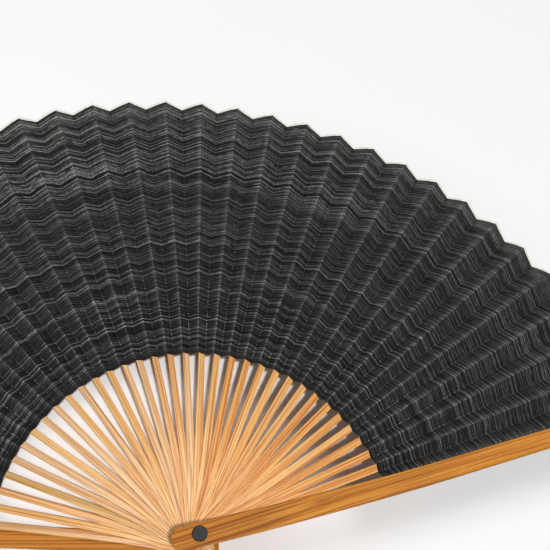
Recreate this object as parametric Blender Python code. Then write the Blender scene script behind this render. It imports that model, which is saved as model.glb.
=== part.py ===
"""Open folding fan: two guards, twisted inner ribs, a pleated cloth leaf and one pivot pin.

Lengths are in metres, Z is up, and the world Z axis is the pivot axis. The open leaf is symmetric
about +Y. Stick 0 is the rear guard, at the left and at the bottom of the stack, and each next stick
lies one pleat to the right and one step higher. Every stick turns about the pivot, so its origin is
on the pivot axis. All inner ribs have one shape: flat round the pin, then twisted until they lie in
the plane of the pleat that they carry, so that they nest when the fan is folded.
"""

import math

import bmesh
import bpy
from mathutils import Matrix, Vector

# Counts and angles of the whole fan
STICK_COUNT = 35
PLEAT_ANGLE = math.radians(4.8)
QUARTER_PLEAT = PLEAT_ANGLE / 4
HALF_PLEAT = PLEAT_ANGLE / 2

# Leaf
LEAF_OUTER_RADIUS = 0.215
LEAF_INNER_RADIUS = 0.081
LEAF_THICKNESS = 0.00015
RIDGE_RISE = 0.0056
LEAF_GAP = 0.00012
BINDING_WIDTH = 0.0011
BINDING_GAP = 0.0001
BINDING_THICKNESS = 0.00022

# Inner ribs
RIB_THICKNESS = 0.00035
RIB_WIDTH = 0.0034
RIB_PIVOT_WIDTH = 0.0060
RIB_TIP_WIDTH = 0.0026
RIB_TAIL_LENGTH = 0.0095
RIB_TIP_SETBACK = 0.0045
RIB_WAIST_START = 0.0060
RIB_WAIST_END = 0.0300
STICK_GAP = 0.00025

# Where the twist of a rib starts, and where the rib lies in its pleat
TWIST_START = 0.0140
TWIST_END = 0.0780

# Guards
GUARD_WIDTH = 0.0083
GUARD_PIVOT_WIDTH = 0.0096
GUARD_TAIL_LENGTH = 0.0115
GUARD_THICKNESS = 0.0022
GUARD_TIP_THICKNESS = 0.0014
GUARD_OVERHANG = 0.0010
GUARD_BEVEL = 0.0004
GUARD_BOW_END = 0.1150
GUARD_EDGE_ANGLE = math.radians(0.4)
GUARD_LIFT_END = 0.0600

# Pivot pin
PIN_RADIUS = 0.00125
PIN_CLEARANCE = 0.0003
PIN_HEAD_RADIUS = 0.0031
PIN_HEAD_HEIGHT = 0.0009
PIN_HEAD_EDGE = 0.0004
PIN_HEAD_GAP = 0.0002
CUTTER_OVERRUN = 0.0020

# How finely the forms are divided
END_STEPS = 5
WAIST_STEPS = 3
TWIST_STEPS = 9
GUARD_BOW_STEPS = 14
LEAF_ZONE_STEPS = 3
LEAF_RADIAL_STEPS = 3
HOLE_SIDES = 16
PIN_SIDES = 32
BEVEL_STEPS = 2

# Derived sizes
RIDGE_SLOPE = RIDGE_RISE / LEAF_OUTER_RADIUS
CENTRE_SLOPE = RIDGE_SLOPE / (2 * math.cos(QUARTER_PLEAT))
FACET_TILT = math.atan(RIDGE_SLOPE / (2 * math.sin(QUARTER_PLEAT)))
STACK_STEP = RIB_THICKNESS + STICK_GAP
LAST_STICK = STICK_COUNT - 1
LEFT_RIDGE_ANGLE = math.pi / 2 + LAST_STICK * HALF_PLEAT + QUARTER_PLEAT
RIB_TIP_RADIUS = LEAF_OUTER_RADIUS - RIB_TIP_SETBACK
GUARD_TIP_RADIUS = LEAF_OUTER_RADIUS + GUARD_OVERHANG
CLOTH_OUTER_RADIUS = LEAF_OUTER_RADIUS - BINDING_WIDTH - BINDING_GAP
SEAT_OFFSET = LEAF_THICKNESS / 2 + LEAF_GAP
REAR_FACE = PIN_HEAD_HEIGHT + PIN_HEAD_GAP
REAR_TOP = REAR_FACE + GUARD_THICKNESS
FRONT_SEAT = REAR_TOP + STICK_GAP + (STICK_COUNT - 2) * STACK_STEP
FRONT_FACE = FRONT_SEAT + GUARD_THICKNESS
PIN_TOP = FRONT_FACE + PIN_HEAD_GAP + PIN_HEAD_HEIGHT


def ease(value, start, end):
    """Share from 0 at start to 1 at end, with a smooth beginning and end."""
    share = min(max((value - start) / (end - start), 0), 1)
    return share * share * (3 - 2 * share)


def steps(start, end, count):
    """The places that divide start to end into count parts, without the last one."""
    return [start + (end - start) * number / count for number in range(count)]


def ridge_angle(index):
    """Direction of a stick's ridge line round the pivot, from +X."""
    return LEFT_RIDGE_ANGLE - index * PLEAT_ANGLE


def rib_level(index):
    """Height of an inner rib's middle where it is flat, at the pin."""
    return REAR_TOP + STICK_GAP + RIB_THICKNESS / 2 + (index - 1) * STACK_STEP


def valley_level(index):
    """Height of the level valley line of an inner rib's pleat."""
    seat = (RIB_THICKNESS / 2 + SEAT_OFFSET) / math.cos(FACET_TILT)
    return rib_level(index) + seat - CENTRE_SLOPE * TWIST_START


def rear_inner_face(distance):
    """Height of the rear guard's upper face, which carries the first pleat."""
    thinning = GUARD_THICKNESS - GUARD_TIP_THICKNESS
    return REAR_TOP - thinning * ease(distance, LEAF_INNER_RADIUS, GUARD_TIP_RADIUS)


def front_inner_face(distance):
    """Height of the front guard's lower face: on the stack at the pin, then along the last ridge."""
    over_ridge = valley_level(LAST_STICK) + RIDGE_SLOPE * distance + SEAT_OFFSET
    return FRONT_SEAT + (over_ridge - FRONT_SEAT) * ease(distance, TWIST_START, GUARD_LIFT_END)


def front_outer_face(distance):
    """Height of the front guard's upper face."""
    thinning = GUARD_THICKNESS - GUARD_TIP_THICKNESS
    return front_inner_face(distance) + GUARD_THICKNESS - thinning * ease(
        distance, LEAF_INNER_RADIUS, GUARD_TIP_RADIUS
    )


def fold_height(index, on_ridge, radius):
    """Height of the leaf's middle on a ridge or valley line."""
    if index == 0:
        return rear_inner_face(radius) + SEAT_OFFSET
    if index == LAST_STICK:
        return front_inner_face(radius) - SEAT_OFFSET
    return valley_level(index) + (RIDGE_SLOPE * radius if on_ridge else 0)


def fold_point(index, on_ridge, radius):
    """A point of the leaf's middle on a ridge or valley line."""
    angle = ridge_angle(index) - (0 if on_ridge else HALF_PLEAT)
    flat = Vector((math.cos(angle), math.sin(angle), 0)) * radius
    return flat + Vector((0, 0, fold_height(index, on_ridge, radius)))


def round_end(end, radius, toward):
    """Places and half widths of a rounded end. toward is 1 where the stick goes on towards +X."""
    found = []
    for number in range(1, END_STEPS + 1):
        turn = math.pi / 2 * number / END_STEPS
        found.append((end + toward * radius * (1 - math.cos(turn)), radius * math.sin(turn)))
    return found


def rib_outline():
    """(place along the rib, half width) from the tail to the tip."""
    pivot_half, waist_half, tip_half = RIB_PIVOT_WIDTH / 2, RIB_WIDTH / 2, RIB_TIP_WIDTH / 2
    outline = round_end(-RIB_TAIL_LENGTH, pivot_half, 1)
    places = steps(RIB_WAIST_START, TWIST_START, WAIST_STEPS)
    places += steps(TWIST_START, TWIST_END, TWIST_STEPS)
    places += steps(TWIST_END, RIB_TIP_RADIUS - tip_half, LEAF_ZONE_STEPS)
    for place in places:
        half = pivot_half + (waist_half - pivot_half) * ease(place, RIB_WAIST_START, RIB_WAIST_END)
        half += (tip_half - waist_half) * ease(place, LEAF_INNER_RADIUS, RIB_TIP_RADIUS)
        outline.append((place, half))
    return outline + round_end(RIB_TIP_RADIUS, tip_half, -1)[::-1]


def guard_outline():
    """(place along the guard, left edge, right edge), measured from the ridge line.

    The guard is centred on the pin and bows gently until its left edge follows the ridge.
    """
    pivot_half, half = GUARD_PIVOT_WIDTH / 2, GUARD_WIDTH / 2
    ends = round_end(-GUARD_TAIL_LENGTH, pivot_half, 1)
    places = steps(0, GUARD_BOW_END, GUARD_BOW_STEPS)
    places += steps(GUARD_BOW_END, GUARD_TIP_RADIUS - half, LEAF_ZONE_STEPS)
    ends += [(place, None) for place in places]
    ends += round_end(GUARD_TIP_RADIUS, half, -1)[::-1]
    outline = []
    for place, end_half in ends:
        left_to_bow = 1 - min(max(place / GUARD_BOW_END, 0), 1)
        bowed = 1 - left_to_bow**2
        middle = -bowed * (half + place * math.tan(GUARD_EDGE_ANGLE))
        reach = end_half or pivot_half + (half - pivot_half) * bowed
        outline.append((place, middle + reach, middle - reach))
    return outline


def plank(outline):
    """A thin bar as a bmesh from (place, left, right, bottom, top) rows."""
    bm = bmesh.new()
    rings = []
    for place, left, right, bottom, top in outline:
        corners = ((left, bottom), (right, bottom), (right, top), (left, top))
        rings.append([bm.verts.new((place, side, height)) for side, height in corners])
    for ring, following in zip(rings, rings[1:]):
        for number, corner in enumerate(ring):
            following_corner = (number + 1) % len(ring)
            bm.faces.new(
                (corner, ring[following_corner], following[following_corner], following[number])
            )
    bm.faces.new(rings[0][::-1])
    bm.faces.new(rings[-1])
    bmesh.ops.recalc_face_normals(bm, faces=bm.faces)
    return bm


def make_material(name, colour, roughness, metallic=0.0):
    """A Principled material with one plain colour."""
    material = bpy.data.materials.new(name)
    material.use_nodes = True
    shader = material.node_tree.nodes["Principled BSDF"]
    shader.inputs["Base Color"].default_value = (*colour, 1.0)
    shader.inputs["Roughness"].default_value = roughness
    shader.inputs["Metallic"].default_value = metallic
    return material


def add_object(name, bm, material):
    """Turn a bmesh into a named object in the scene."""
    mesh = bpy.data.meshes.new(name)
    bm.to_mesh(mesh)
    bm.free()
    mesh.materials.append(material)
    made = bpy.data.objects.new(name, mesh)
    bpy.context.scene.collection.objects.link(made)
    return made


def make_pin_hole_cutter():
    """The one cylinder that bores every stick for the pin."""
    bm = bmesh.new()
    height = PIN_TOP + 2 * CUTTER_OVERRUN
    bmesh.ops.create_cone(
        bm,
        cap_ends=True,
        segments=HOLE_SIDES,
        radius1=PIN_RADIUS + PIN_CLEARANCE,
        radius2=PIN_RADIUS + PIN_CLEARANCE,
        depth=height,
        matrix=Matrix.Translation((0, 0, PIN_TOP / 2)),
    )
    cutter = add_object("pin_hole_cutter", bm, make_material("cutter", (0.5, 0.5, 0.5), 0.5))
    cutter.hide_render = True
    cutter.display_type = "WIRE"
    return cutter


def bore_for_pin(stick, cutter):
    """Cut the pin hole with a live Boolean."""
    bore = stick.modifiers.new("pin_hole", "BOOLEAN")
    bore.operation = "DIFFERENCE"
    bore.solver = "EXACT"
    bore.object = cutter


def rib_form():
    """The bmesh of one inner rib, lying along +X with the pin at the origin."""
    half = RIB_THICKNESS / 2
    bm = plank([(place, side, -side, -half, half) for place, side in rib_outline()])
    for corner in bm.verts:
        twist = Matrix.Rotation(FACET_TILT * ease(corner.co.x, TWIST_START, TWIST_END), 4, "X")
        climb = CENTRE_SLOPE * max(corner.co.x - TWIST_START, 0)
        corner.co = twist @ corner.co + Vector((0, 0, climb))
    return bm


def make_rib(index, material, cutter):
    """One inner rib, turned to the middle of its pleat and set at its level in the stack."""
    rib = add_object(f"rib_{index:02d}", rib_form(), material)
    rib.location = (0, 0, rib_level(index))
    rib.rotation_euler = (0, 0, ridge_angle(index) - QUARTER_PLEAT)
    bore_for_pin(rib, cutter)
    return rib


def make_guard(name, index, inner_face, outer_face, material, cutter):
    """A guard between two face heights, with a bevel round its outer face."""
    rows = []
    for place, left, right in guard_outline():
        faces = sorted((inner_face(place), outer_face(place)))
        rows.append((place, left, right, *faces))
    bm = plank(rows)
    outward = 1 if outer_face(0) > inner_face(0) else -1
    outer = {face for face in bm.faces if face.normal.z * outward > math.cos(math.pi / 4)}
    rim = [edge for edge in bm.edges if len(outer.intersection(edge.link_faces)) == 1]
    bmesh.ops.bevel(
        bm,
        geom=rim,
        offset=GUARD_BEVEL,
        offset_type="OFFSET",
        segments=BEVEL_STEPS,
        profile=0.5,
        affect="EDGES",
        clamp_overlap=True,
        material=-1,
    )
    guard = add_object(name, bm, material)
    guard.rotation_euler = (0, 0, ridge_angle(index))
    bore_for_pin(guard, cutter)
    return guard


def make_pleated_sheet(name, inner_radius, outer_radius, thickness, material):
    """Part of the pleated leaf between two radii, as a thin closed solid."""
    bm = bmesh.new()
    radii = steps(inner_radius, outer_radius, LEAF_RADIAL_STEPS) + [outer_radius]
    lines = []
    for index in range(STICK_COUNT):
        for on_ridge in (True, False):
            lines.append([bm.verts.new(fold_point(index, on_ridge, radius)) for radius in radii])
    for left, right in zip(lines, lines[1:]):
        for number in range(LEAF_RADIAL_STEPS):
            bm.faces.new((left[number], right[number], right[number + 1], left[number + 1]))
    bmesh.ops.recalc_face_normals(bm, faces=bm.faces)
    sheet = add_object(name, bm, material)
    thicken = sheet.modifiers.new("thickness", "SOLIDIFY")
    thicken.thickness = thickness
    thicken.offset = 0
    thicken.use_even_offset = True
    return sheet


def make_pin(material):
    """The pivot pin with a low domed head at each end, spun about the pivot axis."""
    dome = PIN_HEAD_HEIGHT - PIN_HEAD_EDGE
    profile = [(0, 0), (PIN_HEAD_RADIUS - dome, 0)]
    for number in range(1, END_STEPS + 1):
        turn = math.pi / 2 * number / END_STEPS
        side = PIN_HEAD_RADIUS - dome + dome * math.sin(turn)
        profile.append((side, dome - dome * math.cos(turn)))
    profile.append((PIN_HEAD_RADIUS, PIN_HEAD_HEIGHT))
    profile.append((PIN_RADIUS, PIN_HEAD_HEIGHT))
    profile += [(side, PIN_TOP - height) for side, height in reversed(profile)]
    bm = bmesh.new()
    corners = [bm.verts.new((side, 0, height)) for side, height in profile]
    edges = [bm.edges.new(pair) for pair in zip(corners, corners[1:])]
    bmesh.ops.spin(
        bm,
        geom=corners + edges,
        cent=(0, 0, 0),
        axis=(0, 0, 1),
        angle=2 * math.pi,
        steps=PIN_SIDES,
        use_merge=True,
    )
    bmesh.ops.remove_doubles(bm, verts=bm.verts, dist=PIN_RADIUS / PIN_SIDES / PIN_SIDES)
    bmesh.ops.recalc_face_normals(bm, faces=bm.faces)
    return add_object("pivot_pin", bm, material)


def main():
    """Clear the scene and build the fan."""
    for old in list(bpy.data.objects):
        bpy.data.objects.remove(old)
    bamboo = make_material("rib_bamboo", (0.72, 0.42, 0.16), 0.5)
    guard_bamboo = make_material("guard_bamboo", (0.66, 0.34, 0.11), 0.42)
    cloth = make_material("leaf_cloth", (0.025, 0.025, 0.028), 0.85)
    tape = make_material("edge_tape", (0.78, 0.72, 0.60), 0.7)
    pin_black = make_material("pin_black", (0.02, 0.018, 0.016), 0.35)
    cutter = make_pin_hole_cutter()

    make_guard("guard_rear", 0, rear_inner_face, lambda place: REAR_FACE, guard_bamboo, cutter)
    for index in range(1, LAST_STICK):
        make_rib(index, bamboo, cutter)
    make_guard(
        "guard_front", LAST_STICK, front_inner_face, front_outer_face, guard_bamboo, cutter
    )
    make_pleated_sheet("leaf", LEAF_INNER_RADIUS, CLOTH_OUTER_RADIUS, LEAF_THICKNESS, cloth)
    binding_start = LEAF_OUTER_RADIUS - BINDING_WIDTH
    make_pleated_sheet(
        "edge_binding", binding_start, LEAF_OUTER_RADIUS, BINDING_THICKNESS, tape
    )
    make_pin(pin_black)


main()
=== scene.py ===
"""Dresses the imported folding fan: pleated striped cloth, cream edge tape, bamboo sticks and pivot pin.

Lengths are in metres and angles in radians. The world Z axis is the pivot axis, and the floor is the
plane z = 0 under the rear guard. Stick 0 is the rear guard, sticks 1 to 33 are the inner ribs, and
stick 34 is the front guard. A pleat is the facet that lies on one stick and the facet that leads
from it to the next stick, so it bends across one joint.
"""

import logging
import math
import random
from collections.abc import Sequence
from dataclasses import dataclass, replace
from enum import Enum
from typing import Any

import bmesh
import bpy
from mathutils import Matrix, Vector


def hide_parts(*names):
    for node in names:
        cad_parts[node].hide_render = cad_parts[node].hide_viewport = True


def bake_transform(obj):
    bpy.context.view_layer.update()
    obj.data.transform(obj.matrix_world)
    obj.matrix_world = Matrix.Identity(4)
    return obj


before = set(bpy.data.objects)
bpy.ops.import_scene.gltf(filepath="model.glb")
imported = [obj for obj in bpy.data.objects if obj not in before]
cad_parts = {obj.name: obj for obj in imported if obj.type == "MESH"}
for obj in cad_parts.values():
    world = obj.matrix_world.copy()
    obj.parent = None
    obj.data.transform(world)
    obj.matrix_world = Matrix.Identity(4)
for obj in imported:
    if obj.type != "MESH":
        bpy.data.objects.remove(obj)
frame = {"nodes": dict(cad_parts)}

LOG = logging.getLogger("folding_fan")
MM = 0.001
PER_MM = 1000.0
# Shares of a pleat, from its ridge line to the middle of the facet on the stick and to its valley line.
MID_FACET = 0.25
VALLEY = 0.5
NOISE_MIDDLE = 0.5
# Settings of a Mix node that lays one colour over another, and of one that multiplies them.
LAID_OVER = {"out": 2, "data_type": "RGBA"}
MULTIPLIED = {"out": 2, "data_type": "RGBA", "blend_type": "MULTIPLY"}

Stops = tuple[tuple[float, float], ...]
# A corner of a pleat's cross-section: its point, place across the facet, share of wear and painted light
# (from painted shade to painted highlight) and distance to the valley.
Corner = tuple[Vector, float, float, float]


class Body(Enum):
    """The two guards, which are bodies with names of their own."""

    REAR_GUARD = "rear_guard"
    FRONT_GUARD = "front_guard"


class BambooTone(Enum):
    """Shades that split bamboo takes, as (light, middle, dark) sRGB hex colours."""

    PALE = ("F3D1A2", "EABF8C", "C68E54")
    HONEY = ("F4CC8C", "E9B46E", "C98A44")
    AMBER = ("F0BE76", "E3A65A", "C68038")
    OLIVE = ("EECB8E", "E2BA76", "BC8C46")
    ROSE = ("F2C890", "E7B072", "C8884A")
    GUARD = ("CF8A30", "C07A22", "9A5E1A")


def linear(colour: str) -> tuple[float, float, float, float]:
    """Turn an sRGB hex colour into the linear RGBA that a shader takes.

    Args:
        colour: Six hex digits.

    Returns:
        Linear red, green and blue, and an alpha of 1.
    """
    channels = [int(colour[place : place + 2], 16) / 255 for place in (0, 2, 4)]
    found = [c / 12.92 if c <= 0.04045 else ((c + 0.055) / 1.055) ** 2.4 for c in channels]
    return (found[0], found[1], found[2], 1.0)


@dataclass(frozen=True)
class FanPlan:
    """Sizes of the solid fan that the dressed pieces are fitted to."""

    stick_count: int = 35
    pleat_angle: float = math.radians(4.8)
    leaf_inner_radius: float = 0.081
    leaf_outer_radius: float = 0.215
    ridge_rise: float = 0.0056
    rib_thickness: float = 0.00035
    rib_width: float = 0.0034
    stick_gap: float = 0.00025
    twist_start: float = 0.0140
    guard_thickness: float = 0.0022
    guard_tip_thickness: float = 0.0014
    guard_overhang: float = 0.0010
    solid_leaf_thickness: float = 0.00015
    solid_leaf_gap: float = 0.00012
    pin_head_height: float = 0.0009
    pin_head_gap: float = 0.0002

    @property
    def last(self) -> int:
        """Number of the front guard."""
        return self.stick_count - 1

    @property
    def ridge_slope(self) -> float:
        """Rise of a ridge line per metre of radius."""
        return self.ridge_rise / self.leaf_outer_radius

    @property
    def centre_slope(self) -> float:
        """Rise of a facet's middle line per metre of its length."""
        return self.ridge_slope / (2 * math.cos(self.pleat_angle / 4))

    @property
    def facet_tilt(self) -> float:
        """Angle between a facet and the floor, across the facet."""
        return math.atan(self.ridge_slope / (2 * math.sin(self.pleat_angle / 4)))

    @property
    def rear_top(self) -> float:
        """Height of the rear guard's upper face at the pin."""
        return self.pin_head_height + self.pin_head_gap + self.guard_thickness

    def ridge_angle(self, index: float) -> float:
        """Direction of a stick's ridge line round the pivot, from +X."""
        left = math.pi / 2 + self.last * self.pleat_angle / 2 + self.pleat_angle / 4
        return left - index * self.pleat_angle

    def rib_level(self, index: int) -> float:
        """Height of an inner rib's middle where it is flat, at the pin."""
        step = self.rib_thickness + self.stick_gap
        return self.rear_top + self.stick_gap + self.rib_thickness / 2 + (index - 1) * step

    def facet_level(self, index: int, seat: float) -> float:
        """Height at the pivot axis of a plane that lies a seat above a rib's middle plane."""
        over = seat / math.cos(self.facet_tilt)
        return self.rib_level(index) + over - self.centre_slope * self.twist_start

    def rear_face(self, radius: float) -> float:
        """Height of the rear guard's upper face. It thins smoothly from the leaf's inner edge to its tip.

        Args:
            radius: Distance from the pivot axis.

        Returns:
            The height over the floor.
        """
        tip = self.leaf_outer_radius + self.guard_overhang
        share = (radius - self.leaf_inner_radius) / (tip - self.leaf_inner_radius)
        share = min(max(share, 0.0), 1.0)
        thinned = share * share * (3 - 2 * share)
        return self.rear_top - (self.guard_thickness - self.guard_tip_thickness) * thinned

    def front_face(self, radius: float) -> float:
        """Height of the front guard's lower face at a distance from the pivot axis."""
        seat = self.solid_leaf_thickness / 2 + self.solid_leaf_gap
        return self.facet_level(self.last, self.rib_thickness / 2 + seat) + self.ridge_slope * radius + seat

    def body(self, index: int) -> str:
        """Name of the body of a stick."""
        guards = {0: Body.REAR_GUARD.value, self.last: Body.FRONT_GUARD.value}
        return guards.get(index, f"rib_{index:02d}")

    def node(self, index: int) -> str:
        """Name of the solid of a stick."""
        return {0: "guard_rear", self.last: "guard_front"}.get(index, f"rib_{index:02d}")


def add_node(
    tree: bpy.types.NodeTree,
    kind: str,
    inputs: dict[Any, Any] | None = None,
    out: int | str = 0,
    stops: Sequence[tuple[float, Any]] = (),
    **settings: Any,
) -> bpy.types.NodeSocket:
    """Add a node with its settings, its values and its links.

    Args:
        tree: The node tree.
        kind: The node's type name after "ShaderNode".
        inputs: Socket name or number to a value, or to the output that feeds it.
        out: Name or number of the output wanted.
        stops: Places and colours of a colour ramp. A single number stands for a grey.
        **settings: Attributes of the node.

    Returns:
        The node's output.
    """
    node = tree.nodes.new(f"ShaderNode{kind}")
    for setting, value in settings.items():
        setattr(node, setting, value)
    for number, (place, colour) in enumerate(stops):
        elements = node.color_ramp.elements
        element = elements[number] if number < len(elements) else elements.new(place)
        element.position = place
        element.color = colour if isinstance(colour, tuple) else (colour, colour, colour, 1.0)
    for socket, value in (inputs or {}).items():
        if isinstance(value, bpy.types.NodeSocket):
            tree.links.new(value, node.inputs[socket])
        else:
            node.inputs[socket].default_value = value
    return node.outputs[out]


class NodeMaterial:
    """A node material with one Principled shader, filled by add() and feed()."""

    def __init__(self, name: str, settings: dict[str, Any]) -> None:
        """Start a material.

        Args:
            name: The material's name.
            settings: Constant values of the shader's own sockets.
        """
        self.material = bpy.data.materials.new(name)
        self.material.use_nodes = True
        self.tree = self.material.node_tree
        self.shader = self.tree.nodes["Principled BSDF"]
        for socket, value in settings.items():
            self.shader.inputs[socket].default_value = value

    def add(self, kind: str, *values: Any, **settings: Any) -> bpy.types.NodeSocket:
        """Add a node to this material, as add_node does."""
        return add_node(self.tree, kind, *values, **settings)

    def feed(self, socket: str, output: bpy.types.NodeSocket) -> None:
        """Link an output to one of the shader's sockets."""
        self.tree.links.new(output, self.shader.inputs[socket])


class Yarn(Enum):
    """Weft yarns of the cloth, as the sRGB hex colour of their brightest threads."""

    SOOT = "29292A"
    COAL = "5F5E5C"
    ASH = "7B7A79"
    SILVER = "8F8D8B"
    SLATE = "68696C"
    DUSK = "46474A"
    UMBER = "6A6764"


@dataclass(frozen=True)
class Stripe:
    """A run of one yarn, from its start at so many millimetres from the fan's outer edge."""

    start: float
    width: float
    yarn: Yarn


@dataclass(frozen=True)
class Grade:
    """An even change from the low level, up to the start, to the high level, from the end on."""

    low: float = 0.0
    high: float = 1.0
    start: float = 0.0
    end: float = 1.0

    @property
    def limits(self) -> dict[int, float]:
        """Places and levels by the number of their socket on a Map Range node."""
        return {1: self.start, 2: self.end, 3: self.low, 4: self.high}


@dataclass(frozen=True)
class StripedWeave:
    """Plain-woven mercerised cotton in charcoal with weft stripes that run across all the pleats.

    Mercerised yarn has a low silky gloss, which picks out the folds and the threads that stand up. The
    wide stripes have fixed places, and every stripe is made of finer lines that vary in brightness.
    Distances from the outer edge, and the widths of lines, are in millimetres, as the stripes' are.
    """

    name: str = "striped_cotton"
    roughness: float = 0.42
    gloss: float = 0.15
    sheen: float = 0.02
    sheen_roughness: float = 0.4
    ground: Yarn = Yarn.COAL
    stripes: tuple[Stripe, ...] = (
        Stripe(0.6, 1.5, Yarn.SOOT),
        Stripe(3.0, 2.0, Yarn.SILVER),
        Stripe(5.2, 3.9, Yarn.ASH),
        Stripe(9.3, 1.1, Yarn.SOOT),
        Stripe(10.8, 1.8, Yarn.ASH),
        Stripe(13.0, 4.0, Yarn.UMBER),
        Stripe(17.3, 2.0, Yarn.SILVER),
        Stripe(19.4, 2.0, Yarn.SOOT),
        Stripe(23.2, 2.4, Yarn.SLATE),
        Stripe(25.9, 1.0, Yarn.SOOT),
        Stripe(27.2, 4.9, Yarn.ASH),
        Stripe(32.3, 0.7, Yarn.SOOT),
        Stripe(33.2, 4.8, Yarn.SILVER),
        Stripe(38.2, 1.5, Yarn.SOOT),
        Stripe(40.0, 3.0, Yarn.ASH),
        Stripe(43.0, 0.8, Yarn.SOOT),
        Stripe(43.8, 0.9, Yarn.SILVER),
        Stripe(44.7, 0.8, Yarn.SOOT),
        Stripe(45.5, 3.8, Yarn.SLATE),
        Stripe(49.6, 3.4, Yarn.DUSK),
        Stripe(57.8, 3.0, Yarn.UMBER),
        Stripe(62.4, 2.2, Yarn.DUSK),
    )
    inner_stripes: tuple[Stripe, ...] = (
        Stripe(66.2, 2.5, Yarn.UMBER),
        Stripe(71.2, 1.9, Yarn.ASH),
        Stripe(77.6, 1.2, Yarn.SILVER),
        Stripe(79.4, 1.5, Yarn.SOOT),
        Stripe(88.4, 2.0, Yarn.SOOT),
        Stripe(91.6, 3.9, Yarn.ASH),
        Stripe(96.2, 5.2, Yarn.DUSK),
        Stripe(101.9, 1.7, Yarn.SILVER),
        Stripe(107.8, 1.5, Yarn.SOOT),
        Stripe(112.8, 2.0, Yarn.SOOT),
        Stripe(115.2, 2.2, Yarn.ASH),
        Stripe(118.0, 2.0, Yarn.SOOT),
        Stripe(125.0, 4.0, Yarn.SLATE),
    )
    # Ground between two stripes that is narrower than this takes the colour of the first.
    least_gap: float = 0.35
    # The inner stripes' ramp takes over this far before the first of them.
    inner_lead: float = 1.0
    hem: str = "14161A"
    # Pale colour of the worn folds, also used for the painted highlights on ridges and valleys.
    fold_wear_highlight: str = "A9A7A0"
    # Lines of a few yarns each, and where in the noise they begin. A single weft or warp yarn is 0.3 mm,
    # and 0.8 mm is the finest line that shows.
    coarse_line: float = 2.4
    coarse_shift: float = 2.3
    fine_line: float = 0.8
    fine_shift: float = 21.9
    line_reach: float = 60 * MM
    warp_line: float = 0.8
    # Shares that make up a line's strength, and its brightness at each strength. Most lines stay dark.
    coarse_weight: float = 0.12
    fine_weight: float = 0.40
    drift_weight: float = 0.26
    slub_weight: float = 0.22
    line_stops: Stops = ((0.43, 0.0), (0.49, 0.17), (0.54, 0.62), (0.585, 1.22))
    warp_stops: Stops = ((0.35, 0.62), (0.60, 1.0))
    # The weft wanders by a fifth of a millimetre each way, from pleat to pleat.
    wander_reach: float = 0.45
    wander_patch: tuple[float, float] = (4 * MM, 9 * MM)
    # Thick and thin places of the yarn are 4 mm long, and they break the edges of the stripes up.
    slub_reach: float = 1.5
    slub_patch: tuple[float, float] = (4 * MM, 0.45 * MM)
    # Shares that grow to the right of the fan and towards the ribs. To the right the stripes turn fainter,
    # and the painted shade and highlight of the folds are strongest to the right and near the ribs.
    right_share: Grade = Grade(start=200 * MM, end=400 * MM)
    fold_contrast: Grade = Grade(0.0, 0.9, start=45.0, end=110.0)
    fainter: Grade = Grade(0.0, 0.4)
    # Painted light: the outer part is painted brighter on the left than on the right, and the inner part
    # darker.
    painted_outer_light: Grade = Grade(1.12, 0.66)
    painted_falloff: Grade = Grade(high=0.69, start=20.0, end=80.0)
    # Painted shade in a free facet's valley and painted highlight at its ridge, stronger with the fold
    # contrast.
    painted_valley_shade: Grade = Grade(0.81, 0.66)
    painted_ridge_highlight: Grade = Grade(1.04, 1.26)
    fold_shade_power: float = 2.5
    fold_shade_reach: Grade = Grade(end=0.9)
    # Strength of the folds' wear and painted highlight, from its start to the leaf's inner edge, and by the
    # fold contrast.
    fold_wear_and_glint: Grade = Grade(0.15, 0.55, start=30.0)
    contrast_wear_and_glint: Grade = Grade(0.1, 1.5)
    ridge_line: Grade = Grade(start=0.95)
    # The brightest wefts stand highest, and show along a ridge as pale dashes of wear and painted highlight.
    dashes: Grade = Grade(0.05, 1.2, start=0.2, end=0.9)
    # Painted shade and painted highlight dots along a valley, by the distance from it.
    valley_shade: Grade = Grade(0.55, 1.0, start=0.1 * MM, end=0.7 * MM)
    valley_line: Grade = Grade(1.0, 0.0, start=0.05 * MM, end=0.30 * MM)
    dot_stops: Stops = ((0.55, 0.0), (0.62, 0.6))
    # The dark hem, with its places measured from the leaf's inner edge.
    hem_line: Grade = Grade(0.0, 0.65, start=-3.2, end=-1.8)
    relief: float = 0.5
    thread_height: float = 0.12 * MM

    def place_stops(self, stripes: Sequence[Stripe], length: float) -> list[tuple[float, Any]]:
        """Ramp stops that switch from the ground to each stripe and back.

        Args:
            stripes: The stripes, from the outer edge inwards.
            length: The distance that the ramp spans, in millimetres.

        Returns:
            The stops, for a ramp without blending.
        """
        stops: list[tuple[float, Any]] = [(0.0, linear(self.ground.value))]
        for number, stripe in enumerate(stripes):
            end = stripe.start + stripe.width
            stops.append((stripe.start / length, linear(stripe.yarn.value)))
            following = stripes[number + 1].start if number + 1 < len(stripes) else length
            if following > end + self.least_gap:
                stops.append((end / length, linear(self.ground.value)))
        return stops

    def build(self, plan: FanPlan) -> bpy.types.Material:
        """Make the material.

        Args:
            plan: The fan's sizes, which place the stripes and hems.

        Returns:
            The finished material.
        """
        cloth = ClothMaterial(self, plan)
        cloth.dye_stripes()
        cloth.draw_lines()
        cloth.fade()
        cloth.paint_fold_shade()
        cloth.paint_fold_wear_and_light()
        cloth.finish_hem()
        cloth.raise_threads()
        return cloth.material


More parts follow.
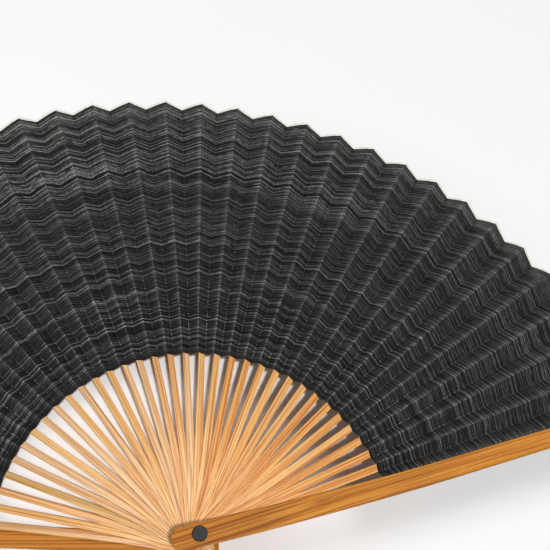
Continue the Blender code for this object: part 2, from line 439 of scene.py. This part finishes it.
class ClothMaterial(NodeMaterial):
    """The striped cloth's material in the making, with the patterns of its yarns and its colour so far."""

    def __init__(self, look: StripedWeave, plan: FanPlan) -> None:
        """Start the material and lay the yarns out over the leaf.

        Args:
            look: The cloth's finish.
            plan: The fan's sizes.
        """
        surface = {"Roughness": look.roughness, "Specular IOR Level": look.gloss}
        sheen = {"Sheen Weight": look.sheen, "Sheen Roughness": look.sheen_roughness}
        super().__init__(look.name, surface | sheen)
        self.look = look
        edge = plan.leaf_outer_radius * PER_MM
        self.length = edge - plan.leaf_inner_radius * PER_MM
        self.weave = self.add("UVMap", uv_map="weave")
        across = self.add("SeparateXYZ", {0: self.weave}, out=0)
        along = self.add("SeparateXYZ", {0: self.weave}, out=1)
        depth = self.add("Math", {0: along, 1: -PER_MM, 2: edge}, operation="MULTIPLY_ADD")
        wander = self.add("Math", {0: self.patches(look.wander_patch), 1: -NOISE_MIDDLE}, operation="ADD")
        self.depth = self.add("Math", {0: wander, 1: look.wander_reach, 2: depth}, operation="MULTIPLY_ADD")
        self.slub = self.patches(look.slub_patch)
        self.drift = self.patches((look.line_reach, look.fine_line * MM))
        self.warp = self.side_by_side(across, look.warp_line * MM)
        # A share from left to right across the fan. It sets the painted light, the fainter stripes and the
        # painted fold shade.
        self.right_share = self.add("MapRange", {0: across, **look.right_share.limits})
        fold_contrast = self.add("MapRange", {0: self.depth, **look.fold_contrast.limits})
        self.fold_contrast = self.add("Math", {0: fold_contrast, 1: self.right_share}, operation="MAXIMUM")
        # Share of wear and painted light across each pleat, from painted shade at a valley to painted
        # highlight at a ridge.
        self.wear_and_painted_light = self.add("Attribute", out="Fac", attribute_name="wear_and_painted_light")

    def patches(self, size: tuple[float, float]) -> bpy.types.NodeSocket:
        """Noise in patches with this length along the weft and this width across it."""
        place = self.add("Mapping", {0: self.weave, "Scale": (1 / size[0], 1 / size[1], 1)})
        return self.add("TexNoise", {0: place, "Scale": 1.0, "Detail": 1.0}, noise_dimensions="2D")

    def side_by_side(
        self, place: bpy.types.NodeSocket, width: float, shift: float = 0.0, rough: bool = False
    ) -> bpy.types.NodeSocket:
        """Noise in lines that lie side by side.

        Args:
            place: Distance across the lines.
            width: A line's width, in the unit of the place.
            shift: Where in the noise the lines begin.
            rough: True for finer lines within them.

        Returns:
            The noise.
        """
        place = self.add("Math", {0: place, 1: 1 / width, 2: shift}, operation="MULTIPLY_ADD")
        values = {"Detail": 2.0, "Roughness": 0.6} if rough else {"Detail": 1.0}
        return self.add("TexNoise", {"W": place, "Scale": 1.0, **values}, noise_dimensions="1D")

    def dye_stripes(self) -> None:
        """Colour the wide stripes, with edges that the thick and thin places of the yarn break up."""
        look = self.look
        broken = self.add("Math", {0: self.slub, 1: -NOISE_MIDDLE}, operation="ADD")
        broken = self.add("Math", {0: broken, 1: look.slub_reach, 2: self.depth}, operation="MULTIPLY_ADD")
        share = self.add("Math", {0: broken, 1: self.length}, operation="DIVIDE")
        ramps = []
        for stripes in (look.stripes, look.inner_stripes):
            ramp = self.add("ValToRGB", {0: share}, stops=look.place_stops(stripes, self.length))
            ramp.node.color_ramp.interpolation = "CONSTANT"
            ramps.append(ramp)
        change = look.inner_stripes[0].start - look.inner_lead
        halfway = self.add("Math", {0: self.depth, 1: change}, operation="GREATER_THAN")
        colour = self.add("Mix", {0: halfway, 6: ramps[0], 7: ramps[1]}, **LAID_OVER)
        fainter = self.add("MapRange", {0: self.right_share, **look.fainter.limits})
        self.colour = self.add("Mix", {0: fainter, 6: colour, 7: linear(look.ground.value)}, **LAID_OVER)

    def draw_lines(self) -> None:
        """Draw the fine lines that every stripe is made of."""
        look = self.look
        coarse = self.side_by_side(self.depth, look.coarse_line, look.coarse_shift, rough=True)
        fine = self.side_by_side(self.depth, look.fine_line, look.fine_shift)
        strength = self.add("Math", {0: coarse, 1: look.coarse_weight}, operation="MULTIPLY")
        for pattern, weight in (
            (fine, look.fine_weight),
            (self.drift, look.drift_weight),
            (self.slub, look.slub_weight),
        ):
            strength = self.add("Math", {0: pattern, 1: weight, 2: strength}, operation="MULTIPLY_ADD")
        self.lines = self.add("ValToRGB", {0: strength}, stops=look.line_stops)
        self.colour = self.add("Mix", {0: 1.0, 6: self.colour, 7: self.lines}, **MULTIPLIED)

    def fade(self) -> None:
        """Paint light into the cloth, brightest on its outer part to the left, and show the warp through it.
        """
        look = self.look
        # Painted light: a brightness that falls from the outer left towards the right and inwards.
        painted_outer_light = self.add("MapRange", {0: self.right_share, **look.painted_outer_light.limits})
        painted_falloff = self.add("MapRange", {0: self.depth, **look.painted_falloff.limits, 3: painted_outer_light})
        warp = self.add("ValToRGB", {0: self.warp}, stops=look.warp_stops)
        for shade in (painted_falloff, warp):
            self.colour = self.add("Mix", {0: 1.0, 6: self.colour, 7: shade}, **MULTIPLIED)

    def paint_fold_shade(self) -> None:
        """Paint each pleat darker towards its valleys and paler towards its ridges, as painted shade and
        highlight.
        """
        look = self.look
        in_valley = self.add("MapRange", {0: self.fold_contrast, **look.painted_valley_shade.limits})
        on_ridge = self.add("MapRange", {0: self.fold_contrast, **look.painted_ridge_highlight.limits})
        reached = self.add("Math", {0: self.wear_and_painted_light, 1: look.fold_shade_power}, operation="POWER")
        painted_fold_light = self.add("MapRange", {0: reached, **look.fold_shade_reach.limits, 3: in_valley, 4: on_ridge})
        self.colour = self.add("Mix", {0: 1.0, 6: self.colour, 7: painted_fold_light}, **MULTIPLIED)

    def paint_fold_wear_and_light(self) -> None:
        """Paint pale dashes of wear and highlight along the ridges, and painted shade and highlight dots
        along the valleys.
        """
        look = self.look
        wear_and_highlight_colour = linear(look.fold_wear_highlight)
        glint_and_wear = self.add("MapRange", {0: self.depth, **look.fold_wear_and_glint.limits, 2: self.length})
        sharp = self.add("MapRange", {0: self.fold_contrast, **look.contrast_wear_and_glint.limits})
        glint_and_wear = self.add("Math", {0: glint_and_wear, 1: sharp}, operation="MULTIPLY")
        ridge = self.add("MapRange", {0: self.wear_and_painted_light, **look.ridge_line.limits})
        dashes = self.add("MapRange", {0: self.lines, **look.dashes.limits})
        ridge = self.add("Math", {0: ridge, 1: dashes}, operation="MULTIPLY")
        ridge = self.add("Math", {0: ridge, 1: glint_and_wear}, operation="MULTIPLY")
        # Pale dashes along the ridges: wear and painted highlight.
        self.colour = self.add("Mix", {0: ridge, 6: self.colour, 7: wear_and_highlight_colour}, **LAID_OVER)
        to_valley = self.add("Attribute", out="Fac", attribute_name="to_valley")
        shade = self.add("MapRange", {0: to_valley, **look.valley_shade.limits})
        self.colour = self.add("Mix", {0: 1.0, 6: self.colour, 7: shade}, **MULTIPLIED)
        valley = self.add("MapRange", {0: to_valley, **look.valley_line.limits})
        dots = self.add("ValToRGB", {0: self.drift}, stops=look.dot_stops)
        valley = self.add("Math", {0: valley, 1: dots}, operation="MULTIPLY")
        valley = self.add("Math", {0: valley, 1: glint_and_wear}, operation="MULTIPLY")
        # Pale dots along the valleys: painted highlight.
        self.colour = self.add("Mix", {0: valley, 6: self.colour, 7: wear_and_highlight_colour}, **LAID_OVER)

    def finish_hem(self) -> None:
        """Lay the dark hem along the leaf's inner edge."""
        look = self.look
        span = {1: self.length + look.hem_line.start, 2: self.length + look.hem_line.end}
        laid = self.add("MapRange", {0: self.depth, **look.hem_line.limits, **span})
        self.feed("Base Color", self.add("Mix", {0: laid, 6: self.colour, 7: linear(look.hem)}, **LAID_OVER))

    def raise_threads(self) -> None:
        """Raise the thick yarns and lines a little."""
        relief = self.add("Math", {0: self.warp, 1: self.drift}, operation="ADD")
        relief = self.add("Math", {0: self.slub, 1: relief}, operation="ADD")
        bump = {"Strength": self.look.relief, "Distance": self.look.thread_height, "Height": relief}
        self.feed("Normal", self.add("Bump", bump))


@dataclass(frozen=True)
class PlainTape:
    """Cream cotton tape with a fine cross weave: matt, and a little darker between its threads."""

    name: str = "cream_tape"
    light: str = "FAF7F0"
    dark: str = "D8CFC0"
    roughness: float = 0.75
    sheen: float = 0.1
    thread_spacing: float = 0.5 * MM
    places: tuple[float, float] = (0.30, 0.55)
    relief: float = 0.4
    thread_height: float = 0.1 * MM

    def build(self) -> bpy.types.Material:
        """Make the material.

        Returns:
            The finished material, with its threads on the tape's own map.
        """
        made = NodeMaterial(self.name, {"Roughness": self.roughness, "Sheen Weight": self.sheen})
        weave = made.add("UVMap", uv_map="weave")
        threads = 1 / self.thread_spacing
        place = made.add("Mapping", {0: weave, "Scale": (threads, threads, 1)})
        noise = made.add("TexNoise", {0: place, "Scale": 1.0, "Detail": 2.0}, noise_dimensions="2D")
        stops = list(zip(self.places, (linear(self.dark), linear(self.light))))
        made.feed("Base Color", made.add("ValToRGB", {0: noise}, stops=stops))
        bump = {"Strength": self.relief, "Distance": self.thread_height, "Height": noise}
        made.feed("Normal", made.add("Bump", bump))
        return made.material


@dataclass(frozen=True)
class SplitBamboo:
    """Split and planed bamboo: lengthwise fibres, pale and dark bands, a satin surface."""

    tone: BambooTone
    seed: float
    angle: float = 0.0
    line_share: float = 0.8
    roughness: float = 0.46
    gloss: float = 0.5
    # Width of the bands and fibre bundles. Real fibres are finer, and these are the finest that show.
    band_width: float = 1.1 * MM
    fibre_width: float = 0.30 * MM
    grain_length: float = 200 * MM
    fleck_length: float = 3.2 * MM
    # Steps in the noise from one stick to the next, and from the bands to the fibres and the flecks.
    seed_steps: tuple[float, float, float] = (7.3, 3.1, 1.0)
    fibre_shift: float = 13.0
    fleck_shift: float = 29.0
    grain_roughness: float = 0.6
    # Places in the noise of the dark, middle and light bands, and of dark and clear fibres and flecks.
    band_places: tuple[float, float, float] = (0.30, 0.46, 0.66)
    fibre_places: tuple[float, float] = (0.42, 0.49)
    fleck_places: tuple[float, float] = (0.30, 0.38)
    fleck_share: float = 0.35
    relief: float = 0.35
    fibre_height: float = 0.06 * MM

    def build(self, name: str) -> bpy.types.Material:
        """Make the material.

        Args:
            name: The material's name.

        Returns:
            The finished material, with its grain along the stick.
        """
        made = NodeMaterial(name, {"Roughness": self.roughness, "Specular IOR Level": self.gloss})
        light, middle, dark = (linear(colour) for colour in self.tone.value)
        place = made.add("TexCoord", out="Object")
        turned = made.add("Mapping", {0: place, "Rotation": (0, 0, -self.angle)})
        along, aside, through = (self.seed * step for step in self.seed_steps)
        layers = []
        for length, width, shift, detail in (
            (self.grain_length, self.band_width, 0.0, 2.0),
            (self.grain_length, self.fibre_width, self.fibre_shift, 1.0),
            (self.fleck_length, self.fibre_width / 2, self.fleck_shift, 1.0),
        ):
            corner = (along + shift, aside - shift, through)
            scale = (1 / length, 1 / width, 1 / (3 * width))
            scaled = made.add("Mapping", {0: turned, "Location": corner, "Scale": scale})
            values = {0: scaled, "Scale": 1.0, "Detail": detail, "Roughness": self.grain_roughness}
            layers.append(made.add("TexNoise", values))
        bands, fibres, flecks = layers
        colour = made.add("ValToRGB", {0: bands}, stops=list(zip(self.band_places, (dark, middle, light))))
        for noise, places, share in (
            (fibres, self.fibre_places, self.line_share),
            (flecks, self.fleck_places, self.fleck_share),
        ):
            marks = made.add("ValToRGB", {0: noise}, stops=list(zip(places, (dark, 1.0))))
            colour = made.add("Mix", {0: share, 6: colour, 7: marks}, **MULTIPLIED)
        made.feed("Base Color", colour)
        height = made.add("Math", {0: fibres, 1: flecks}, operation="ADD")
        bump = {"Strength": self.relief, "Distance": self.fibre_height, "Height": height}
        made.feed("Normal", made.add("Bump", bump))
        return made.material


@dataclass(frozen=True)
class BlackNylon:
    """Moulded black nylon: a smooth half-gloss skin, with faint rings from the mould and rubbed spots."""

    name: str = "black_nylon"
    dark: str = "191817"
    wear_and_painted_light: str = "34312D"
    # Colour of the nylon's rubbed spots, which are wear.
    roughness: float = 0.48
    refraction: float = 1.53
    gloss: float = 0.2
    # Rubbed spots and mould rings to the millimetre.
    spots: float = 1.3
    rings: float = 1.6
    places: tuple[float, float] = (0.40, 0.70)
    relief: float = 0.2
    ring_height: float = 0.03 * MM

    def build(self) -> bpy.types.Material:
        """Make the material.

        Returns:
            The finished material, with its rings round the pin.
        """
        settings = {"Roughness": self.roughness, "IOR": self.refraction, "Specular IOR Level": self.gloss}
        made = NodeMaterial(self.name, settings)
        place = made.add("TexCoord", out="Object")
        scaled = made.add("Mapping", {0: place, "Scale": (PER_MM, PER_MM, PER_MM)})
        noise = made.add("TexNoise", {0: scaled, "Scale": self.spots, "Detail": 3.0})
        stops = list(zip(self.places, (linear(self.dark), linear(self.wear_and_painted_light))))
        made.feed("Base Color", made.add("ValToRGB", {0: noise}, stops=stops))
        ripple = {0: scaled, "Scale": self.rings}
        rings = made.add("TexWave", ripple, out=1, wave_type="RINGS", rings_direction="Z")
        bump = {"Strength": self.relief, "Distance": self.ring_height, "Height": rings}
        made.feed("Normal", made.add("Bump", bump))
        return made.material


@dataclass
class PleatedLeaf:
    """The cloth leaf, as one piece for each pleat."""

    plan: FanPlan
    thickness: float = 0.06 * MM
    seat_gap: float = 0.02 * MM
    roll: float = 0.45 * MM
    roll_height: float = 0.13 * MM
    # Places of the corners in a rolled fold, as shares of the roll. The tape needs no inner ones.
    roll_shares: tuple[float, ...] = (0.0, 0.25, 0.6, 1.0)
    tape_roll_shares: tuple[float, ...] = (0.0, 1.0)
    # Places of the corners between the two folds of a seated facet.
    facet_shares: tuple[float, ...] = (0.12, 0.27, 0.5, 0.8)
    # Rise of the cloth over the facet's plane at a ridge, for each metre of cloth between fold and rib.
    crest_lift: float = 0.12
    # A free facet bows up to one bend between its folds. The bend sits where a closed facet comes out flat
    # between its neighbours.
    bend_share: float = 0.62
    bow: float = 0.05
    bend_width: float = 2 * MM
    bend_place: float = 0.606
    row_count: int = 20
    # Step from facet to facet across the weave's map.
    facet_step: float = 7.2 * MM
    # How far from a ridge the painted highlight reaches on the seated facet, and the share of painted light
    # on the rest of it. A free facet grades from none, painted shade at its valley, to all, painted
    # highlight at its ridge.
    seated_highlight: float = 0.6 * MM
    seated_share: float = 0.56
    # The part of a seated facet next to its valley that gets painted shade, and how far its share of painted
    # light drops there.
    shaded_share: float = 0.2
    shaded_drop: float = 0.5
    # How far the cloth goes in under its tape.
    tuck: float = 0.5 * MM
    tape_width: float = 1.1 * MM
    tape_thickness: float = 0.22 * MM

    def fold_point(self, index: int, on_ridge: bool, radius: float) -> Vector:
        """A point of the cloth's middle on a ridge or valley line.

        Args:
            index: The stick's number.
            on_ridge: True for the ridge line, False for the valley line on its right.
            radius: Distance from the pivot axis.

        Returns:
            The point.
        """
        offset = self.seat_gap + self.thickness / 2
        if index == 0:
            height = self.plan.rear_face(radius) + offset
        elif index == self.plan.last:
            height = self.plan.front_face(radius) - offset
        else:
            rise = self.plan.ridge_slope * radius if on_ridge else 0
            height = self.plan.facet_level(index, self.plan.rib_thickness / 2 + offset) + rise
        angle = self.plan.ridge_angle(index + (0 if on_ridge else VALLEY))
        flat = Vector((math.cos(angle), math.sin(angle), 0)) * radius
        return flat + Vector((0, 0, height))

    def slack(self, radius: float) -> float:
        """Width of the cloth between a fold and the rib's edge."""
        facet = 2 * radius * math.sin(self.plan.pleat_angle / 4) / math.cos(self.plan.facet_tilt)
        return max(facet - self.plan.rib_width, 0.0) / 2

    def lift(self, index: int, radius: float, place: float) -> float:
        """Rise of a seated facet's cloth at a place near its ridge. The broad guards hold theirs flat."""
        slack = 0.0 if index in (0, self.plan.last) else self.slack(radius)
        return self.crest_lift * slack * (1 - place / slack) ** 2 if place < slack else 0.0

    def seated_facet(self, index: int, radius: float, coarse: bool) -> list[Corner]:
        """The cross-section of the facet that lies on a stick, from its ridge to its valley.

        Args:
            index: The stick's number.
            radius: Distance from the pivot axis.
            coarse: True for the tape.

        Returns:
            The corners of the section.
        """
        rolls = self.roll_places(coarse)
        ridge = self.fold_point(index, True, radius)
        valley = self.fold_point(index, False, radius)
        width = (valley - ridge).length
        flat = width - 2 * self.roll
        middle = [self.roll + flat * share for share in self.facet_shares]
        rows = []
        for place in [*rolls, *middle, *(width - roll for roll in rolls[::-1])]:
            point = ridge.lerp(valley, place / width)
            near_ridge = max(1 - place / self.roll, 0)
            near_valley = max(1 - (width - place) / self.roll, 0)
            point.z += self.lift(index, radius, place)
            point.z -= self.roll_height * (near_ridge**2 - near_valley**2)
            # The share of painted light: painted highlight near the ridge, and painted shade next to the
            # valley.
            near = max(1 - place / self.seated_highlight, 0)
            shaded = max(1 - (1 - place / width) / self.shaded_share, 0)
            rest = self.seated_share * (1 - self.shaded_drop * shaded)
            rows.append((point, place - width / 2, rest + (1 - rest) * near, width - place))
        return rows

    def free_facet(self, index: int, radius: float, coarse: bool) -> list[Corner]:
        """The cross-section of the facet that leads to the next stick, past its shared valley.

        Args:
            index: The number of the stick on the facet's left.
            radius: Distance from the pivot axis.
            coarse: True for the tape.

        Returns:
            The corners of the section.
        """
        valley = self.fold_point(index, False, radius)
        crest = self.fold_point(index + 1, True, radius)
        crest.z += self.lift(index + 1, radius, 0.0) - self.roll_height
        width = (crest - valley).length
        rise = crest.z - valley.z
        rows = []
        for place in [*self.roll_places(coarse)[1:], width * self.bend_share, width]:
            share = place / width
            point = valley.lerp(crest, share)
            point.z += rise * self.bow * min(share / self.bend_share, (1 - share) / (1 - self.bend_share))
            point.z += self.roll_height * max(1 - place / self.roll, 0) ** 2
            # The share of painted light grows from painted shade at the valley to painted highlight at the
            # ridge.
            rows.append((point, place - width / 2, share, place))
        return rows

    def roll_places(self, coarse: bool) -> list[float]:
        """Places of the corners in each rolled fold, from the fold line."""
        return [self.roll * share for share in (self.tape_roll_shares if coarse else self.roll_shares)]

    def profile(self, index: int, radius: float, coarse: bool) -> list[Corner]:
        """The cross-section of one pleat at a radius.

        Args:
            index: The number of the stick on the pleat's left.
            radius: Distance from the pivot axis.
            coarse: True for the tape.

        Returns:
            The seated facet's corners and the free facet's. The last pleat goes on over the front guard.
        """
        rows = self.seated_facet(index, radius, coarse) + self.free_facet(index, radius, coarse)
        if index == self.plan.last - 1:
            rows += self.seated_facet(self.plan.last, radius, coarse)[1:]
        return rows

    def build_strip(self, index: int, radii: Sequence[float], coarse: bool) -> bpy.types.Object:
        """Shape a grid into one pleat of cloth or tape.

        Args:
            index: The number of the stick on the pleat's left.
            radii: The rows of the grid, from the inside out.
            coarse: True for the tape.

        Returns:
            The new object, with a UV map for its weave, its shares of wear and painted light, and the
            distances to its valley.
        """
        sections = [self.profile(index, radius, coarse) for radius in radii]
        columns = len(sections[0])
        # The columns where the free facet and the last pleat's second seated facet start.
        free_start = len(self.seated_facet(index, radii[0], coarse))
        guard_start = free_start + len(self.free_facet(index, radii[0], coarse))
        bm = bmesh.new()
        # A grid of one unit each way, whose corners then take their places on the pleat.
        half = 0.5
        bmesh.ops.create_grid(bm, x_segments=columns - 1, y_segments=len(radii) - 1, size=half)
        # Shares of wear and painted light, from painted shade to painted highlight.
        wear_and_painted_light = bm.verts.layers.float.new("wear_and_painted_light")
        to_valley = bm.verts.layers.float.new("to_valley")
        weave = bm.loops.layers.uv.new("weave")
        across: dict[int, tuple[float, float]] = {}
        for number, corner in enumerate(bm.verts):
            column = round((corner.co.x + half) * (columns - 1))
            row = round((corner.co.y + half) * (len(radii) - 1))
            point, side, painted_light_share, distance = sections[row][column]
            corner.index = number
            corner.co = point
            corner[wear_and_painted_light] = painted_light_share
            corner[to_valley] = distance
            facet = 2 * index + int(column >= free_start) + int(column >= guard_start)
            across[number] = (side + facet * self.facet_step, radii[row])
        for face in bm.faces:
            face.smooth = True
            for loop in face.loops:
                loop[weave].uv = across[loop.vert.index]
        if sum((face.normal.z for face in bm.faces), 0.0) < 0:
            bmesh.ops.reverse_faces(bm, faces=bm.faces)
        name = f"{'tape' if coarse else 'pleat'}_{index:02d}"
        mesh = bpy.data.meshes.new(name)
        bm.to_mesh(mesh)
        bm.free()
        made = bpy.data.objects.new(name, mesh)
        bpy.context.scene.collection.objects.link(made)
        thicken = made.modifiers.new("thickness", "SOLIDIFY")
        thicken.thickness = self.tape_thickness if coarse else self.thickness
        thicken.offset = 0
        return made

    def join_sticks(self, piece: bpy.types.Object, index: int) -> None:
        """Bake a pleat's transform into its mesh. The bend's direction and the two sticks' bodies are worked
        out, and not used.

        Args:
            piece: The pleat or its tape.
            index: The number of the stick on the pleat's left.
        """
        angle = self.plan.ridge_angle(index + VALLEY + (1 - VALLEY) * self.bend_share)
        left, right = self.plan.body(index), self.plan.body(index + 1)
        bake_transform(piece)

    def build(self, cloth: bpy.types.Material, tape: bpy.types.Material) -> None:
        """Build every pleat with its length of edge tape.

        Args:
            cloth: The leaf's material.
            tape: The edge tape's material.
        """
        plan = self.plan
        tape_start = plan.leaf_outer_radius - self.tape_width
        cloth_end = tape_start + self.tuck
        length = cloth_end - plan.leaf_inner_radius
        rows = range(self.row_count + 1)
        radii = [plan.leaf_inner_radius + length * row / self.row_count for row in rows]
        tape_middle = plan.leaf_outer_radius - self.tape_width / 2
        tape_radii = [tape_start, tape_middle, plan.leaf_outer_radius]
        for index in range(plan.last):
            pleat = self.build_strip(index, radii, coarse=False)
            pleat.data.materials.append(cloth)
            edge = self.build_strip(index, tape_radii, coarse=True)
            edge.data.materials.append(tape)
            for piece, node, slot in ((pleat, "leaf", "leaf_cloth"), (edge, "edge_binding", "edge_tape")):
                self.join_sticks(piece, index)
                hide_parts(node)
            self.declare(index, cloth_end)

    def declare(self, index: int, outer: float) -> None:
        """Work out a pleat's cross-section points at both radii and the sticks under it, which nothing uses.

        Args:
            index: The number of the stick on its left.
            outer: The cloth's outer radius.
        """
        inner = self.plan.leaf_inner_radius
        for radius in (inner, outer):
            points = [row[0] for row in self.profile(index, radius, False)]
        under = [self.plan.node(stick) for stick in (index, index + 1)]


def dress_node(node: bpy.types.Object, material: bpy.types.Material) -> None:
    """Put a material in every slot of a node."""
    for place in node.material_slots:
        place.material = material


@dataclass
class BambooSticks:
    """The ribs and guards, whose solids have the right shape and get a bamboo finish each."""

    plan: FanPlan
    seed: int = 7
    pale_tones: tuple[BambooTone, ...] = (
        BambooTone.PALE,
        BambooTone.HONEY,
        BambooTone.PALE,
        BambooTone.ROSE,
        BambooTone.HONEY,
        BambooTone.OLIVE,
    )
    warm_tones: tuple[BambooTone, ...] = (BambooTone.HONEY, BambooTone.AMBER, BambooTone.AMBER)
    first_warm: int = 20
    # How strongly the dark fibres show on a pale and on a warm rib.
    pale_lines: float = 0.7
    warm_lines: float = 0.8
    # The guards' bamboo. Its place in the grain is past all the ribs'.
    guard: SplitBamboo = SplitBamboo(
        tone=BambooTone.GUARD,
        seed=50.0,
        roughness=0.5,
        gloss=0.2,
        line_share=0.6,
        band_width=2.2 * MM,
        fibre_width=0.40 * MM,
        grain_length=160 * MM,
    )

    def dress(self, nodes: dict[str, bpy.types.Object]) -> None:
        """Give each rib and guard its own bamboo.

        Args:
            nodes: The frame's nodes by name.
        """
        chooser = random.Random(self.seed)
        for index in range(1, self.plan.last):
            warm = index >= self.first_warm
            tone = chooser.choice(self.warm_tones if warm else self.pale_tones)
            angle = self.plan.ridge_angle(index + MID_FACET)
            lines = self.warm_lines if warm else self.pale_lines
            finish = SplitBamboo(tone=tone, seed=float(index), angle=angle, line_share=lines)
            dress_node(nodes[self.plan.node(index)], finish.build(f"split_bamboo_{index:02d}"))
        for index in (0, self.plan.last):
            name, angle = self.plan.node(index), self.plan.ridge_angle(index)
            finish = replace(self.guard, seed=self.guard.seed + index, angle=angle)
            dress_node(nodes[name], finish.build(f"planed_bamboo_{name}"))


@dataclass
class PivotPin:
    """The pin through all the sticks, whose solid has the right shape and gets its finish."""

    finish: BlackNylon = BlackNylon()

    def dress(self, nodes: dict[str, bpy.types.Object]) -> None:
        """Give the pin its finish."""
        dress_node(nodes["pivot_pin"], self.finish.build())


@dataclass(frozen=True)
class SoftLamp:
    """A round soft lamp at a distance from the fan's middle.

    Its azimuth is its direction round Z, from +X, and its height is that direction's angle over the
    floor. A level of 1 lights a level white surface so that it renders as white.
    """

    name: str
    azimuth: float
    height: float
    distance: float
    width: float
    level: float


@dataclass
class Studio:
    """Pale floor, soft lamps, fill from all round, and the camera."""

    floor_size: float = 3.0
    floor_colour: str = "F6F6F6"
    floor_roughness: float = 0.9
    floor_gloss: float = 0.1
    fill: float = 0.08
    target: tuple[float, float, float] = (0.0, 0.08, 0.01)
    lamps: tuple[SoftLamp, ...] = (
        SoftLamp("key_lamp", math.radians(-105.0), math.radians(70.5), 3.0, 0.21, 0.66),
        SoftLamp("top_lamp", math.radians(55), math.radians(60), 4.0, 2.25, 0.305),
        SoftLamp("left_lamp", math.radians(190), math.radians(38), 0.6, 0.2, 0.06),
    )
    focal_pixels: float = 980.0
    image_width: float = 550.0
    sensor: float = 36.0
    nearest: float = 0.01
    farthest: float = 50.0
    camera_place: tuple[float, float, float] = (-0.0689, -0.0840, 0.4066)
    camera_turn: tuple[float, float, float] = (
        math.radians(-3.40),
        math.radians(27.94),
        math.radians(-13.98),
    )

    def build_floor(self) -> None:
        """Lay the pale floor under the rear guard."""
        bm = bmesh.new()
        bmesh.ops.create_grid(bm, x_segments=1, y_segments=1, size=self.floor_size / 2)
        mesh = bpy.data.meshes.new("floor")
        bm.to_mesh(mesh)
        bm.free()
        floor = bpy.data.objects.new("floor", mesh)
        bpy.context.scene.collection.objects.link(floor)
        settings = {
            "Base Color": linear(self.floor_colour),
            "Roughness": self.floor_roughness,
            "Specular IOR Level": self.floor_gloss,
        }
        floor.data.materials.append(NodeMaterial("pale_paper", settings).material)

    def build_lights(self) -> None:
        """Add the lamps, the fill and the pale surroundings."""
        for soft in self.lamps:
            flat = math.cos(soft.height)
            sideways, back = flat * math.cos(soft.azimuth), flat * math.sin(soft.azimuth)
            direction = Vector((sideways, back, math.sin(soft.height)))
            lamp = bpy.data.lights.new(soft.name, "AREA")
            lamp.shape = "DISK"
            lamp.size = soft.width
            # A level white surface sends back power * sine / (pi * distance) squared.
            lamp.energy = soft.level * (math.pi * soft.distance) ** 2 / direction.z
            made = bpy.data.objects.new(soft.name, lamp)
            turn = direction.to_track_quat("Z", "Y").to_matrix().to_4x4()
            made.matrix_world = Matrix.Translation(Vector(self.target) + direction * soft.distance) @ turn
            bpy.context.scene.collection.objects.link(made)
        world = bpy.data.worlds.new("fill")
        world.use_nodes = True
        tree = world.node_tree
        background = tree.nodes["Background"]
        background.inputs["Color"].default_value = linear(self.floor_colour)
        # The eye, gloss and glass see pale surroundings. Matt surfaces get the weaker fill.
        rays = add_node(tree, "LightPath").node.outputs
        seen = rays["Is Camera Ray"]
        for other in (rays["Is Glossy Ray"], rays["Is Transmission Ray"]):
            seen = add_node(tree, "Math", {0: seen, 1: other}, operation="MAXIMUM")
        strength = add_node(tree, "MapRange", {0: seen, 3: self.fill, 4: 1.0})
        tree.links.new(strength, background.inputs["Strength"])
        bpy.context.scene.world = world

    def build_camera(self) -> None:
        """Set the camera at the viewpoint of the reference picture."""
        turn_z, turn_x, turn_y = self.camera_turn
        lens = bpy.data.cameras.new("camera")
        lens.sensor_width = self.sensor
        lens.lens = self.focal_pixels * self.sensor / self.image_width
        lens.clip_start = self.nearest
        lens.clip_end = self.farthest
        camera = bpy.data.objects.new("camera", lens)
        spin = Matrix.Rotation(turn_z, 4, "Z") @ Matrix.Rotation(turn_x, 4, "X")
        spin = spin @ Matrix.Rotation(turn_y, 4, "Y")
        camera.matrix_world = Matrix.Translation(self.camera_place) @ spin
        bpy.context.scene.collection.objects.link(camera)
        bpy.context.scene.camera = camera


def main() -> None:
    """Build the studio and the dressed fan in order."""
    logging.basicConfig(level=logging.INFO, format="%(name)s %(message)s")
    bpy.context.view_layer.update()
    bpy.context.scene.view_settings.view_transform = "Standard"
    plan = FanPlan()
    nodes = frame["nodes"]
    studio = Studio()
    studio.build_floor()
    studio.build_lights()
    studio.build_camera()
    LOG.info("studio: floor laid, %d lamps hung, camera set", len(studio.lamps))
    PleatedLeaf(plan).build(StripedWeave().build(plan), PlainTape().build())
    LOG.info("pleated leaf: %d pleats with their tape", plan.last)
    BambooSticks(plan).dress(nodes)
    LOG.info("bamboo sticks: %d dressed", plan.stick_count)
    PivotPin().dress(nodes)
    LOG.info("pivot pin: dressed")
    bpy.context.view_layer.update()


if __name__ == "__main__":
    main()
